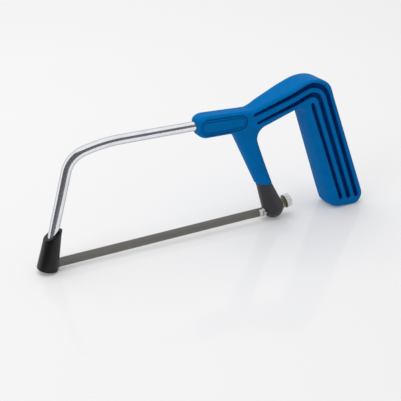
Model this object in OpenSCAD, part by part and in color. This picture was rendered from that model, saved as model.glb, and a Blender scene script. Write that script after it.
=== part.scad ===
// Mini hacksaw: a bent steel bar with a moulded handle, and a pinned blade pulled tight by a screw.
// It stands on its front boot and its grip, teeth down. +X runs from the front to the handle, +Z is up.
// Places are pairs [x, z] in the middle plane, measured from the front blade pin until a part is centred.

/* [Blade] */
// Distance between the two blade pins
pin_span = 150; // [120:1:200]
// Height of the blade with its teeth
blade_h = 6.3; // [5.6:0.1:7]
// Thickness of the blade
blade_t = 0.65; // [0.4:0.05:0.8]
// Distance from one tooth to the next
tooth_pitch = 0.8; // [0.6:0.1:1.6]
// Depth of the teeth
tooth_depth = 0.5; // [0.3:0.05:0.8]
// Length without teeth inside each pin
tooth_margin = 8; // [6:0.5:15]
// Diameter of the blade pins
pin_d = 2.5; // [2:0.1:2.8]
// Length of the blade pins
pin_len = 7; // [6.6:0.1:7.6]
// Height of the tooth tips over the floor at the front pin
edge_front_z = 0.6; // [0.4:0.1:1.5]
// Height of the tooth tips over the floor at the rear pin
edge_rear_z = 2.6; // [2.2:0.1:3.2]

/* [Frame bar] */
// Diameter of the bar
rod_d = 6; // [5:0.1:6.4]
// Height of the top bar's axis over the floor
bar_z = 75.4; // [68:0.2:90]
// Lean of the front leg from upright
front_lean = 16; // [10:0.5:20]
// Distance from the front pin back to the front leg's axis
front_leg_back = 1; // [0.6:0.1:1.4]
// Radius of the front bend
front_bend_r = 16; // [12:0.5:24]
// Radius of the long sweep from the front bend into the top bar
sweep_r = 85; // [40:1:110]
// Angle turned by the long sweep
sweep_angle = 15; // [5:1:20]
// Straight run between the front bend and the long sweep
bend_link = 1; // [0.5:0.1:6]
// Radius of the bend inside the handle
rear_bend_r = 12; // [9:0.5:16]
// Lean of the rear leg from upright
rear_lean = 22.5; // [20:0.5:25]
// Distance along the screw from the rear pin to the rear leg's axis
rear_leg_back = 8; // [7.6:0.1:8.6]
// Height of the bar's front end over the floor
tongue_z = 2; // [1.8:0.1:3]
// Thickness of the bar's flattened rear end
eye_t = 3.2; // [2.8:0.1:3.6]
// Width of the flattened rear end
eye_w = 9; // [7:0.1:9.6]
// Length of the flattened end above the screw
eye_rise = 6; // [5:0.5:9]
// Length of the flattened end below the screw
eye_drop = 4.2; // [3.8:0.1:4.8]

/* [Front boot] */
// Diameter of the boot at its foot
boot_foot_d = 13; // [12.4:0.1:15]
// Diameter of the boot at its mouth
boot_mouth_d = 10; // [9.4:0.1:12]
// Lean of the boot from upright
boot_lean = 13.6; // [12:0.2:16]
// Distance from the front pin back to the middle of the boot's foot
boot_back = 1.2; // [0.8:0.1:1.6]
// Height of the slanted mouth over the floor, on the boot's axis
boot_mouth_z = 23.6; // [18:0.2:32]
// Slope of the mouth, which is higher at the rear
boot_mouth_tilt = 22; // [10:1:35]
// Rounding of the foot's edge
boot_edge_r = 0.8; // [0.4:0.1:1.2]

/* [Rear boot] */
// Diameter of the ball at the rear boot's foot
ball_d = 14.6; // [14:0.1:16]
// Length of the rear boot along the leg, from the screw to the handle
boot_rise = 21.4; // [16:0.2:26]
// Slope of the joint between the rear boot and the leg, which is lower at the rear
boot_top_tilt = 10; // [0:1:15]
// Height of the rear boot's underside over the floor
ball_lift = 0.2; // [0.1:0.05:0.6]

/* [Handle] */
// Distance from the rear pin forward to the handle's nose
nose_front = 50.2; // [46:0.2:60]
// Diameter of the flat end of the nose
nose_d = 9.4; // [8:0.1:11]
// Length over which the nose grows to the arm's size
nose_l = 5; // [3:0.1:8]
// Height of the arm round the top bar
arm_h = 13.8; // [13:0.1:16]
// Thickness of the arm
arm_w = 12; // [11:0.1:14]
// Rounding of the arm's edges
arm_edge_r = 2.5; // [1.5:0.1:4]
// Drop of the arm's middle below the bar's axis
arm_drop = 0.5; // [0:0.1:1.5]
// Diameter of the leg where it meets the rear boot
leg_low_d = 9.8; // [9.2:0.1:11.4]
// Depth of the leg, front to rear, where it meets the arm
leg_top_l = 13.5; // [11:0.1:16]
// Thickness of the leg where it meets the arm
leg_top_w = 11.4; // [10:0.1:11.8]
// Distance from the rear pin back to the handle's sharp outer corner
corner_back = 38.7; // [34:0.2:50]
// Rise of the sharp outer corner above the bar's axis
corner_rise = 25.2; // [22:0.2:30]
// Rounding of the outer corner
corner_r = 17.5; // [12:0.5:20]
// Slope of the bridge, and lean of the grip
rake = 21.5; // [17:0.5:25]
// Length at the arm's end along which the bridge starts to widen
blend_l = 6; // [4:0.5:10]
// Depth of the bridge between arm and grip
bridge_h = 14.4; // [13.5:0.1:16]
// Depth of the grip, front to rear
grip_l = 24.2; // [22:0.1:28]
// Width of the grip
grip_w = 20; // [17:0.1:26]
// Rounding of the edges of grip and bridge
grip_edge_r = 4; // [2:0.1:6]
// Rounding of the grip's rear lower corner
foot_r = 5; // [2:0.5:7]
// Rounding of the hand opening's front corner
hand_r = 7; // [5:0.5:9]
// Rounding between the leg's front and the arm
crotch_r = 3; // [2:0.5:5]

/* [Grooves and plaque] */
// Width of the side grooves
groove_w = 2.8; // [1.6:0.1:3.6]
// Depth of the side grooves in the grip
groove_deep = 4.4; // [2:0.1:5]
// Distance from one groove to the next
groove_pitch = 6; // [5:0.1:6.6]
// Radius of the inner bent groove
groove_r = 6; // [3:0.2:8]
// Width of the grooves at their front tips
groove_tip = 0.8; // [0.4:0.1:1.4]
// Height of the grooves' lower ends over the floor
groove_low_z = 6.4; // [4:0.2:12]
// Length of the bare oval plaque
plaque_l = 31.5; // [24:0.5:34]
// Height of the plaque
plaque_h = 10.6; // [8:0.1:11.5]
// Distance from the nose back to the middle of the plaque
plaque_back = 17.4; // [16.8:0.1:19]
// Width of the line round the plaque
plaque_line = 0.8; // [0.5:0.1:1.4]
// Depth of the line round the plaque
plaque_deep = 0.6; // [0.4:0.1:1]

/* [Tension screw] */
// Tilt of the screw, which rises to the rear
stud_tilt = 12.6; // [11:0.2:15]
// Diameter of the screw's thread
stud_d = 4; // [3.5:0.1:4.4]
// Pitch of the thread
thread_pitch = 0.7; // [0.5:0.05:1]
// Diameter of the forked head that holds the rear pin
head_d = 5.5; // [5:0.1:6]
// Metal in front of the rear pin
head_lip = 1.4; // [1:0.1:2]
// Metal behind the fork's notch
head_web = 0.9; // [0.6:0.1:1.2]
// Travel of the screw from tight to loose
travel = 2.5; // [1.5:0.1:2.8]
// Distance along the screw from the rear pin to the washer's seat
seat_back = 14; // [13:0.1:15]
// Diameter of the washer
washer_d = 8.4; // [7.4:0.1:9]
// Thickness of the washer
washer_t = 0.8; // [0.5:0.1:1.5]
// Diameter of the thumb nut's collar
collar_d = 7; // [6:0.1:8]
// Length of the collar
collar_l = 2.5; // [1.5:0.1:4]
// Diameter of the knurled head
nut_d = 9.4; // [9:0.1:14]
// Thickness of the knurled head
nut_t = 3.8; // [3:0.1:6]
// Number of flutes in the knurl
flute_count = 30; // [16:1:40]
// Depth of the flutes
flute_deep = 0.3; // [0.2:0.05:0.5]
// Length of the screw that stands out behind the nut
stud_proud = 0.6; // [0.2:0.1:3]

/* [Fits] */
// Gap round a piece that is moulded or pressed in place
seat_gap = 0.02; // [0.01:0.01:0.05]
// Radial clearance of the sliding screw and of the nut
run_gap = 0.05; // [0.02:0.01:0.1]
// Clearance on each side of the blade in its slots
blade_gap = 0.15; // [0.1:0.05:0.25]
// Clearance round a blade pin and at the blade's ends
pin_gap = 0.3; // [0.2:0.05:0.35]
// Gap between a pin and the metal that it pulls on
bear_gap = 0.05; // [0.03:0.01:0.1]

/* [Hidden] */
$fn = 64;

// A length that reaches past any part
far = 2 * pin_span;
// A slice thin enough to count as a section
slice = 0.05;
// How far a cut or a joint runs past the surface it meets
over = 1;
// How far the bridge starts inside the arm's surface
tuck = 0.3;
// How far a straight run of the bar reaches into a bend, and how much thicker the bend is
lap = 0.3;
hair = 0.03;

function dir(a) = [cos(a), sin(a)];
// Crossing of two lines, each given by a point and the angle of its direction
function meet(p, a, q, b) =
    let (d = q - p, t = (d[0] * sin(b) - d[1] * cos(b)) / sin(b - a)) p + t * dir(a);

// Blade and its pins
front_pin = [0, edge_front_z + blade_h / 2];
blade_rise = asin((edge_rear_z - edge_front_z) / pin_span);
rear_pin = front_pin + pin_span * dir(blade_rise);
slot_w = blade_t + 2 * blade_gap;
blade_reach = blade_h / 2 + pin_gap;

// Screw, and the point where it crosses the rear leg
cross = rear_pin + rear_leg_back * dir(stud_tilt);
head_end = pin_d / 2 + travel + pin_gap + head_web;
fork_end = blade_h / 2 + travel + pin_gap;
nut_s = seat_back + washer_t + run_gap;
stud_end = nut_s + collar_l + nut_t + stud_proud;

// Frame bar: front leg, bend, long sweep, top bar, hidden bend, rear leg
front_axis = front_pin + [front_leg_back, 0];
front_heading = 90 - front_lean;
bend_rise = front_bend_r * (cos(sweep_angle) - cos(front_heading));
bend_run = front_bend_r * (sin(front_heading) - sin(sweep_angle));
sweep_z = bar_z - sweep_r * (1 - cos(sweep_angle));
bend_z = sweep_z - bend_link * sin(sweep_angle) - bend_rise;
bend_start = front_axis + (bend_z - front_axis[1]) * [tan(front_lean), 1];
bend_end = bend_start + [bend_run, bend_rise];
sweep_start = bend_end + bend_link * dir(sweep_angle);
bar_start = [sweep_start[0] + sweep_r * sin(sweep_angle), bar_z];
bar_meet = meet(cross, 90 + rear_lean, bar_start, 0);
rear_turn = 90 - rear_lean;
rear_tangent = rear_bend_r * tan(rear_turn / 2);
bar_end = bar_meet - [rear_tangent, 0];

// Front boot
boot_foot = [boot_back,
    (boot_foot_d / 2 - boot_edge_r) * sin(boot_lean) + boot_edge_r * (1 - cos(boot_lean))];
boot_axis_l = (boot_mouth_z - boot_foot[1]) / cos(boot_lean);
boot_mouth = boot_foot + boot_axis_l * dir(90 - boot_lean);

// Handle: the bridge and the grip lie square to each other, seen from the sharp outer corner
corner = [rear_pin[0] + corner_back, bar_z + corner_rise];
nose = [rear_pin[0] - nose_front, bar_z];
arm_mid = [nose[0], bar_z - arm_drop];
bridge_mid = corner - bridge_h / 2 * dir(90 + rake);
arm_end = meet(arm_mid, 0, bridge_mid, rake);
leg_top = (arm_mid[1] - cross[1]) / cos(rear_lean);
leg_low = boot_rise - leg_low_d / 2 * tan(rear_lean + boot_top_tilt) - over;
leg_taper = atan((leg_top_l - leg_low_d) / 2 / (leg_top - leg_low));
leg_side = cross + boot_rise * dir(90 + rear_lean);
leg_foot = cross + leg_low * dir(90 + rear_lean);
leg_rear = leg_foot + leg_low_d / 2 * dir(rear_lean);
leg_front = leg_foot - leg_low_d / 2 * dir(rear_lean);
hand_corner = meet(leg_rear, 90 + rear_lean - leg_taper, corner - bridge_h * dir(90 + rake), rake);
crotch = meet(leg_front, 90 + rear_lean + leg_taper, arm_mid - [0, arm_h / 2], 0);
heel = [corner[0] + corner[1] * tan(rake), 0];

// The part is centred on its length
x_front = boot_foot[0] - (boot_foot_d / 2 - boot_edge_r) * cos(boot_lean)
    - boot_edge_r * (1 - sin(boot_lean));
x_rear = heel[0] - foot_r * ((1 + sin(rake)) / cos(rake) - 1);
x_mid = (x_front + x_rear) / 2;

// Places a shape so that the middle of the part's length is at x = 0
module centred() translate([-x_mid, 0, 0]) children();
// Moves a shape to a place in the middle plane
module at(p) translate([p[0], 0, p[1]]) children();
// Stands a flat shape up in the middle plane, this thick across it
module upright(t) rotate([90, 0, 0]) linear_extrude(t, center = true) children();
// Frames with Z along the screw, up the rear leg, and with X along the bridge
module on_screw(s) at(rear_pin + s * dir(stud_tilt)) rotate([0, 90 - stud_tilt, 0]) children();
module on_leg(s) at(cross + s * dir(90 + rear_lean)) rotate([0, -rear_lean, 0]) children();
module on_bridge() at(corner) rotate([0, -rake, 0]) children();
// Everything below the slanted joint between leg and rear boot, moved up by a gap, out to this reach
module below_joint(gap, reach) at(leg_side + [0, gap]) rotate([0, boot_top_tilt, 0])
    translate([-reach, -reach, -far]) cube([2 * reach, 2 * reach, far]);
// Both sides of the saw
module both_sides() {
    children();
    mirror([0, 1, 0]) children();
}

// Rectangle with true round corners
module round_rect(l, w, r) {
    square([l, w - 2 * r], center = true);
    square([l - 2 * r, w], center = true);
    for (x = [-1, 1], y = [-1, 1]) translate([x * (l / 2 - r), y * (w / 2 - r)]) circle(r);
}

// Oval with straight sides
module oval(l, h) {
    square([l - h, h], center = true);
    for (x = [-1, 1]) translate([x * (l - h) / 2, 0]) circle(d = h);
}

// Area between a corner and the circle that touches both of its sides, which run at angles a and b
module corner_area(p, a, b, r) {
    half = (b - a) / 2;
    reach = r / tan(half);
    difference() {
        polygon([p - over * dir(a + half), p + reach * dir(a), p + reach * dir(b)]);
        translate(p + r / sin(half) * dir(a + half)) circle(r);
    }
}

// Round bar bent in the middle plane about a centre, between two angles
module bent(c, r, a0, a1, d) {
    at(c) rotate([90, 0, 0]) rotate([0, 0, a0]) rotate_extrude(angle = a1 - a0)
        translate([r, 0]) circle(d = d + 2 * hair);
}

// Straight round bar between two places, reaching into the bends at its ends
module straight(p, q, d) {
    v = q - p;
    at(p) rotate([0, 90 - atan2(v[1], v[0]), 0]) translate([0, 0, -lap]) cylinder(d = d, h = norm(v) + 2 * lap);
}

// The bar's whole round path, this thick
module bar_path(d) {
    foot = front_axis + (tongue_z - front_axis[1]) * [tan(front_lean), 1];
    straight(foot, bend_start, d);
    straight(bend_end, sweep_start, d);
    bent(bend_start + front_bend_r * dir(front_heading - 90), front_bend_r,
        sweep_angle + 90, front_heading + 90, d);
    bent(bar_start - [0, sweep_r], sweep_r, 90, sweep_angle + 90, d);
    straight(bar_start, bar_end, d);
    bent(bar_end - [0, rear_bend_r], rear_bend_r, 90 - rear_turn, 90, d);
    straight(bar_meet - rear_tangent * dir(90 + rear_lean), cross + eye_rise * dir(90 + rear_lean), d);
}

// The flattened rear end, grown by a gap all round
module eye(gap) {
    on_leg(-eye_drop - gap) translate([-eye_t / 2 - gap, -eye_w / 2 - gap, 0])
        cube([eye_t + 2 * gap, eye_w + 2 * gap, eye_drop + eye_rise + over + 2 * gap]);
}

// Room for the blade to hang from the front pin and swing down
module front_slot() {
    at(front_pin) rotate([0, -blade_rise, 0]) translate([-blade_reach, -slot_w / 2, -far])
        cube([blade_reach + boot_foot_d, slot_w, far + blade_reach]);
}

// Room for the front pin to come up from below, as far as the tongue that it pulls on
module front_pin_room(w) {
    back = front_pin[0] + pin_d / 2 + bear_gap;
    front = front_pin[0] - pin_d / 2 - pin_gap;
    translate([front, -w / 2, -over]) cube([back - front, w, front_pin[1] + pin_d / 2 + pin_gap + over]);
}

// Metal of the front tongue that is cut away in front of the pin
module tongue_relief() {
    translate([front_pin[0] + pin_d / 2 + bear_gap - far, -rod_d, -over])
        cube([far, 2 * rod_d, front_pin[1] + pin_d / 2 + pin_gap + over]);
}

// Bent steel bar, slotted in front and flattened and pierced behind
module frame_bar() color("silver") centred() difference() {
    union() {
        bar_path(rod_d);
        eye(0);
    }
    tongue_relief();
    front_slot();
    on_screw(rear_leg_back - eye_w) cylinder(d = stud_d + 2 * run_gap, h = 2 * eye_w);
}

// Tapered boot over the bar's front end, with a slanted mouth
module front_boot() color("#2b2a2e") centred() difference() {
    foot_r = boot_foot_d / 2;
    at(boot_foot) rotate([0, boot_lean, 0]) rotate_extrude() {
        difference() {
            polygon([[0, 0], [foot_r, 0], [foot_r, boot_edge_r],
                [boot_mouth_d / 2, boot_axis_l], [boot_mouth_d / 2, 2 * boot_axis_l], [0, 2 * boot_axis_l]]);
            translate([foot_r - boot_edge_r, 0]) difference() {
                square([2 * boot_edge_r, boot_edge_r]);
                translate([0, boot_edge_r]) circle(boot_edge_r);
            }
        }
    }
    at(boot_mouth) rotate([0, -boot_mouth_tilt, 0]) translate([-far / 2, -far / 2, 0]) cube(far);
    difference() {
        bar_path(rod_d + 2 * seat_gap);
        tongue_relief();
    }
    front_slot();
    front_pin_room(pin_len + 2 * pin_gap);
}

// Boot that closes the rear leg, bored for the screw and slit for the blade's end
module rear_boot() color("#2b2a2e") centred() difference() {
    intersection() {
        union() {
            on_leg(0) sphere(d = ball_d);
            on_leg(0) cylinder(h = boot_rise, d1 = ball_d, d2 = leg_low_d);
            on_leg(boot_rise) cylinder(h = leg_low_d, d = leg_low_d);
        }
        below_joint(0, far);
    }
    translate([-far / 2, -far / 2, ball_lift - far]) cube([2 * far, far, far]);
    bar_path(rod_d + 2 * seat_gap);
    eye(seat_gap);
    on_screw(-ball_d) cylinder(d = stud_d + 2 * run_gap, h = 4 * ball_d);
    on_screw(-ball_d) cylinder(d = head_d + 2 * run_gap, h = ball_d + head_end + run_gap);
    on_screw(seat_back) cylinder(d = ball_d, h = ball_d);
    at(rear_pin) rotate([0, -blade_rise, 0]) translate([-far, -slot_w / 2, -far])
        cube([far + blade_reach, slot_w, far + blade_reach]);
    at(rear_pin) translate([-far, -pin_len / 2 - pin_gap, -far])
        cube([far + pin_d / 2 + pin_gap, pin_len + 2 * pin_gap, far + pin_d / 2 + pin_gap]);
}

// One side groove: down the grip, round the corner and along the bridge to a thin tip
module groove(n) {
    back = n * groove_pitch;
    down = bridge_h - (3 - n) * groove_pitch;
    r = groove_r + (2 - n) * groove_pitch / 2;
    low = (groove_low_z + groove_w / 2 - corner[1] + back * sin(rake)) / cos(rake);
    tip = [(arm_end[0] - corner[0]) / cos(rake) - down * tan(rake), -down];
    translate([-back - groove_w / 2, low]) square([groove_w, -down - r - low]);
    translate([-back, low]) circle(d = groove_w);
    translate([-back - r, -down - r]) intersection() {
        difference() {
            circle(r + groove_w / 2);
            circle(r - groove_w / 2);
        }
        square(far);
    }
    polygon([[-back - r, -down - groove_w / 2], [-back - r, -down + groove_w / 2],
        tip + [0, groove_tip / 2], tip - [0, groove_tip / 2]]);
}

// Short groove down the front of the grip's side
module front_groove() {
    back = 3 * groove_pitch;
    low = (groove_low_z + groove_w / 2 - corner[1] + back * sin(rake)) / cos(rake);
    high = -bridge_h - groove_w / 2;
    translate([-back - groove_w / 2, low]) square([groove_w, high - low]);
    for (z = [low, high]) translate([-back, z]) circle(d = groove_w);
}

// Everything that is cut into the sides of the handle
module side_marks() both_sides() {
    on_bridge() translate([0, -grip_w / 2 + groove_deep, 0]) rotate([90, 0, 0]) linear_extrude(grip_w) {
        groove(1);
        groove(2);
        front_groove();
    }
    at(arm_mid) translate([plaque_back, -arm_w / 2 + plaque_deep, 0]) rotate([90, 0, 0])
        linear_extrude(arm_w) difference() {
            oval(plaque_l, plaque_h);
            oval(plaque_l - 2 * plaque_line, plaque_h - 2 * plaque_line);
        }
}

// Arm round the top bar, with a blunt nose
module arm() intersection() {
    at(arm_mid) rotate([0, 90, 0]) linear_extrude(arm_end[0] - nose[0]) round_rect(arm_h, arm_w, arm_edge_r);
    at(nose) rotate([0, 90, 0]) {
        cylinder(h = nose_l, d1 = nose_d, d2 = arm_h + arm_w);
        translate([0, 0, nose_l]) cylinder(h = far, d = arm_h + arm_w);
    }
}

// Tapered leg from the arm down past the slanted joint with the rear boot
module leg() hull() {
    on_leg(leg_low) cylinder(d = leg_low_d, h = slice, $fn = 32);
    on_leg(leg_top) linear_extrude(slice) round_rect(leg_top_l, leg_top_w, arm_edge_r, $fn = 32);
}

// Bridge that widens from the arm to the grip, its ends set just inside both
module bridge() hull() {
    at([arm_end[0] - blend_l, arm_mid[1]]) rotate([0, 90, 0]) linear_extrude(slice)
        round_rect(arm_h - 2 * tuck, arm_w - 2 * tuck, arm_edge_r, $fn = 32);
    on_bridge() translate([-grip_l + over, 0, -bridge_h / 2]) rotate([0, 90, 0]) linear_extrude(slice)
        round_rect(bridge_h - 2 * slice, grip_w - 2 * slice, grip_edge_r, $fn = 32);
}

// Profile of the outer corner: flat towards the inside, rounded edges on the outside
module corner_profile() intersection() {
    round_rect(2 * corner_r, grip_w, grip_edge_r);
    translate([0, -grip_w / 2]) square([corner_r, grip_w]);
}

// Grip, rounded outer corner, and the shoulder that takes the bridge
module grip() {
    long = corner[1] / cos(rake) + grip_l;
    on_bridge() {
        translate([-grip_l / 2, 0, -long]) linear_extrude(long - corner_r) round_rect(grip_l, grip_w, grip_edge_r);
        translate([-corner_r, 0, -corner_r]) {
            rotate([90, 0, 0]) rotate_extrude(angle = 90) corner_profile();
            rotate([0, -90, 0]) linear_extrude(grip_l - corner_r) corner_profile();
        }
    }
}

// Moulded handle: arm, leg, bridge and grip in one piece, moulded round the bar
module handle() color("#0862ac") centred() difference() {
    union() {
        arm();
        leg();
        bridge();
        grip();
        upright(leg_top_w - 2 * arm_edge_r)
            corner_area(hand_corner, rear_lean - leg_taper - 90, rake, hand_r);
        upright(leg_top_w - 2 * arm_edge_r)
            corner_area(crotch, -180, rear_lean + leg_taper - 90, crotch_r);
    }
    translate([-far / 2, -far / 2, -far]) cube([2 * far, far, far]);
    upright(grip_w + over) corner_area(heel, 90 + rake, 180, foot_r);
    below_joint(seat_gap, leg_low_d);
    bar_path(rod_d + 2 * seat_gap);
    side_marks();
}

// Saw blade with teeth that point to the front
module blade() color("#5f5b58") centred() at(front_pin) rotate([0, -blade_rise, 0]) upright(blade_t) {
    teeth = floor((pin_span - 2 * tooth_margin) / tooth_pitch);
    first = (pin_span - teeth * tooth_pitch) / 2;
    back = 0.8 * tooth_pitch;
    difference() {
        union() {
            polygon([[0, blade_h / 2], [0, -blade_h / 2],
                for (i = [0 : teeth - 1], j = [0, 1])
                    [first + i * tooth_pitch + j * back, -blade_h / 2 + j * tooth_depth],
                [first + teeth * tooth_pitch, -blade_h / 2], [pin_span, -blade_h / 2], [pin_span, blade_h / 2]]);
            for (x = [0, pin_span]) translate([x, 0]) circle(d = blade_h);
        }
        for (x = [0, pin_span]) translate([x, 0]) circle(d = pin_d + 2 * seat_gap);
    }
}

// Round pin through one end of the blade
module blade_pin(p) color("#c9c8c4") centred() at(p) rotate([90, 0, 0]) {
    cylinder(d = pin_d, h = pin_len, center = true);
}
module front_blade_pin() blade_pin(front_pin);
module rear_blade_pin() blade_pin(rear_pin);

// Notch for the rear pin: open below, its top along the screw's axis, long enough for the screw's travel
module pin_notch() {
    front = -pin_d / 2 - bear_gap;
    back = pin_d / 2 + travel * cos(stud_tilt) + pin_gap;
    top = (pin_d / 2 + bear_gap) / cos(stud_tilt);
    polygon([[front, -far], [back, -far], [back, top + back * tan(stud_tilt)],
        [front, top + front * tan(stud_tilt)]]);
}

// Screw with a forked head
module tension_screw() color("#b9bab4") centred() difference() {
    ridge = stud_d / 2;
    root = ridge - thread_pitch / 2;
    rings = floor((stud_end - seat_back) / thread_pitch);
    union() {
        on_screw(-pin_d / 2 - head_lip) cylinder(d = head_d, h = pin_d / 2 + head_lip + head_end);
        on_screw(0) rotate_extrude() polygon([[0, 0], [ridge, 0], [ridge, stud_end - rings * thread_pitch],
            for (i = [rings - 1 : -1 : 0], j = [1, 0])
                [j == 1 ? root : ridge, stud_end - (i + j / 2) * thread_pitch],
            [0, stud_end]]);
    }
    at(rear_pin) rotate([0, -blade_rise, 0]) translate([-far, -slot_w / 2, -far])
        cube([far + fork_end, slot_w, 2 * far]);
    at(rear_pin) upright(2 * head_d) pin_notch();
}

// Plain washer between the rear boot and the nut
module washer() color("#c9c8c4") centred() on_screw(seat_back) difference() {
    cylinder(d = washer_d, h = washer_t);
    translate([0, 0, -over]) cylinder(d = stud_d + 2 * run_gap, h = washer_t + 2 * over);
}

// Knurled thumb nut with a collar
module thumb_nut() color("#d4d4cb") centred() on_screw(nut_s) difference() {
    union() {
        cylinder(d = collar_d, h = collar_l);
        translate([0, 0, collar_l]) cylinder(d = nut_d, h = nut_t);
    }
    translate([0, 0, -over]) cylinder(d = stud_d + 2 * run_gap, h = collar_l + nut_t + 2 * over);
    for (i = [0 : flute_count - 1]) rotate(i * 360 / flute_count)
        translate([nut_d / 2 + flute_deep, 0, collar_l]) rotate(45)
            translate([-flute_deep * sqrt(2), -flute_deep * sqrt(2), 0])
                cube([2 * flute_deep * sqrt(2), 2 * flute_deep * sqrt(2), nut_t + over]);
}

frame_bar();
handle();
front_boot();
rear_boot();
blade();
front_blade_pin();
rear_blade_pin();
tension_screw();
washer();
thumb_nut();
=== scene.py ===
import math

import bmesh
import bpy
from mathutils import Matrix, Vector


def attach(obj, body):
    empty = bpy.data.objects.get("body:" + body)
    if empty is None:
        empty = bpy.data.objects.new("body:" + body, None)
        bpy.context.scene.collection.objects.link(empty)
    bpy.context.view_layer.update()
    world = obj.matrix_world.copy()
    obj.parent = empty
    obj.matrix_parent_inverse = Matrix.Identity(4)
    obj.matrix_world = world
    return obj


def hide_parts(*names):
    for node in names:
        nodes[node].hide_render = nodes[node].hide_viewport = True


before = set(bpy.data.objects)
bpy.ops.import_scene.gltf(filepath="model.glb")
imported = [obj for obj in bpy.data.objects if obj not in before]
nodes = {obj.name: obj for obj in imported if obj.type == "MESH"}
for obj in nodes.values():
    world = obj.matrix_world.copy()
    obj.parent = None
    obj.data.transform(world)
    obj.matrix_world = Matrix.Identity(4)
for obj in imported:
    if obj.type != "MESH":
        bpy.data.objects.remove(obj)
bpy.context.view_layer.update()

mm = 0.001
meshing = {
    "smoothing": 0.5, "smoothAngle": 40, "samePoint": 0.0001, "sameCadPoint": 0.002, "overshoot": 2.0,
    "roundCorners": 64, "holeCorners": 32,
}
print("frame loaded with", len(nodes), "nodes")


# modelling steps that several pieces share

def deselectAll():
    bpy.ops.object.select_all(action="DESELECT")


def makeActive(piece):
    deselectAll()
    piece.select_set(True)
    bpy.context.view_layer.objects.active = piece


def applyStep(piece, kind, **settings):
    step = piece.modifiers.new(kind.lower(), kind)
    for key, value in settings.items():
        setattr(step, key, value)
    makeActive(piece)
    bpy.ops.object.modifier_apply(modifier=step.name)


# a closed body drawn through rings of points in mm, each ring with as many points as the first
def drawThrough(name, rings):
    deselectAll()
    bpy.ops.mesh.primitive_circle_add(vertices=len(rings[0]), radius=mm, fill_type="NGON")
    piece = bpy.context.object
    piece.name = piece.data.name = name
    bpy.ops.object.mode_set(mode="EDIT")
    for index, ring in enumerate(rings):
        if index:
            bpy.ops.mesh.extrude_region_move()
        shape = bmesh.from_edit_mesh(piece.data)
        for corner, place in zip([v for v in shape.verts if v.select], ring):
            corner.co = Vector(place) * mm
        bmesh.update_edit_mesh(piece.data)
    bpy.ops.mesh.select_all(action="SELECT")
    bpy.ops.mesh.normals_make_consistent(inside=False)
    bpy.ops.object.mode_set(mode="OBJECT")
    return piece


def combine(piece, tool, operation="DIFFERENCE"):
    applyStep(piece, "BOOLEAN", operation=operation, solver="EXACT", object=tool)
    bpy.data.objects.remove(tool)


# rounds every edge the way a moulding tool leaves it: fine even faces, smoothed, then thinned
def softenEdges(piece, faceSize, rounds, share):
    applyStep(piece, "REMESH", mode="VOXEL", voxel_size=faceSize * mm)
    applyStep(piece, "SMOOTH", factor=meshing["smoothing"], iterations=rounds)
    applyStep(piece, "DECIMATE", ratio=share)


# splits faces of many corners, and takes out pairs of faces that lie back to back and flaps on a closed body
def dropStrays(piece):
    makeActive(piece)
    bpy.ops.object.mode_set(mode="EDIT")
    bpy.ops.mesh.select_all(action="SELECT")
    bpy.ops.mesh.remove_doubles(threshold=meshing["samePoint"] * mm)
    bpy.ops.mesh.select_mode(type="FACE")
    bpy.ops.mesh.select_all(action="DESELECT")
    bpy.ops.mesh.select_face_by_sides(number=4, type="GREATER", extend=False)
    bpy.ops.mesh.quads_convert_to_tris(quad_method="FIXED", ngon_method="CLIP")
    bpy.ops.mesh.select_all(action="DESELECT")
    shape = bmesh.from_edit_mesh(piece.data)
    known = {}
    for face in shape.faces:
        twin = known.setdefault(frozenset(face.verts), face)
        sharing = [len(edge.link_faces) for edge in face.edges]
        if twin is not face or (min(sharing) == 1 and max(sharing) > 2):
            face.select_set(True)
            twin.select_set(True)
    bpy.ops.mesh.delete(type="FACE")
    bpy.ops.mesh.select_mode(type="VERT")
    bpy.ops.object.mode_set(mode="OBJECT")


def finishPiece(piece, body, slot, material, *replaced):
    dropStrays(piece)
    bpy.ops.object.shade_smooth_by_angle(angle=math.radians(meshing["smoothAngle"]))
    piece.data.materials.clear()
    piece.data.materials.append(material)
    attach(piece, body)
    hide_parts(*replaced)
    print(piece.name, "finished with", len(piece.data.polygons), "faces")


def direction(degrees):
    return Vector((math.cos(math.radians(degrees)), math.sin(math.radians(degrees))))


# even steps from one value to another, both among them
def sweep(first, last, steps):
    return [first + (last - first) * step / steps for step in range(steps + 1)]


# shader groups and materials

noiseSpread = (0.3, 0.7)
mixSockets = {"factor": 0, "first": 6, "second": 7, "result": 2}


def startGroup(name, inputs, outputs):
    group = bpy.data.node_groups.new(name, "ShaderNodeTree")
    for label, kind in inputs:
        group.interface.new_socket(name=label, in_out="INPUT", socket_type=kind)
    for label, kind in outputs:
        group.interface.new_socket(name=label, in_out="OUTPUT", socket_type=kind)
    start = group.nodes.new("NodeGroupInput")
    end = group.nodes.new("NodeGroupOutput")
    return group, start, end


def addNoise(tree, vector, scale, detail, roughness):
    noise = tree.nodes.new("ShaderNodeTexNoise")
    noise.inputs["Detail"].default_value = detail
    noise.inputs["Roughness"].default_value = roughness
    tree.links.new(vector, noise.inputs["Vector"])
    tree.links.new(scale, noise.inputs["Scale"])
    return noise.outputs["Fac"]


def addRange(tree, value, low, high, outLow, outHigh):
    step = tree.nodes.new("ShaderNodeMapRange")
    for key, setting in (("From Min", low), ("From Max", high), ("To Min", outLow), ("To Max", outHigh)):
        step.inputs[key].default_value = setting
    tree.links.new(value, step.inputs["Value"])
    return step.outputs["Result"]


def addMath(tree, operation, first, second):
    step = tree.nodes.new("ShaderNodeMath")
    step.operation = operation
    for socket, value in zip(step.inputs, (first, second)):
        if isinstance(value, (int, float)):
            socket.default_value = value
        else:
            tree.links.new(value, socket)
    return step.outputs["Value"]


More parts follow.
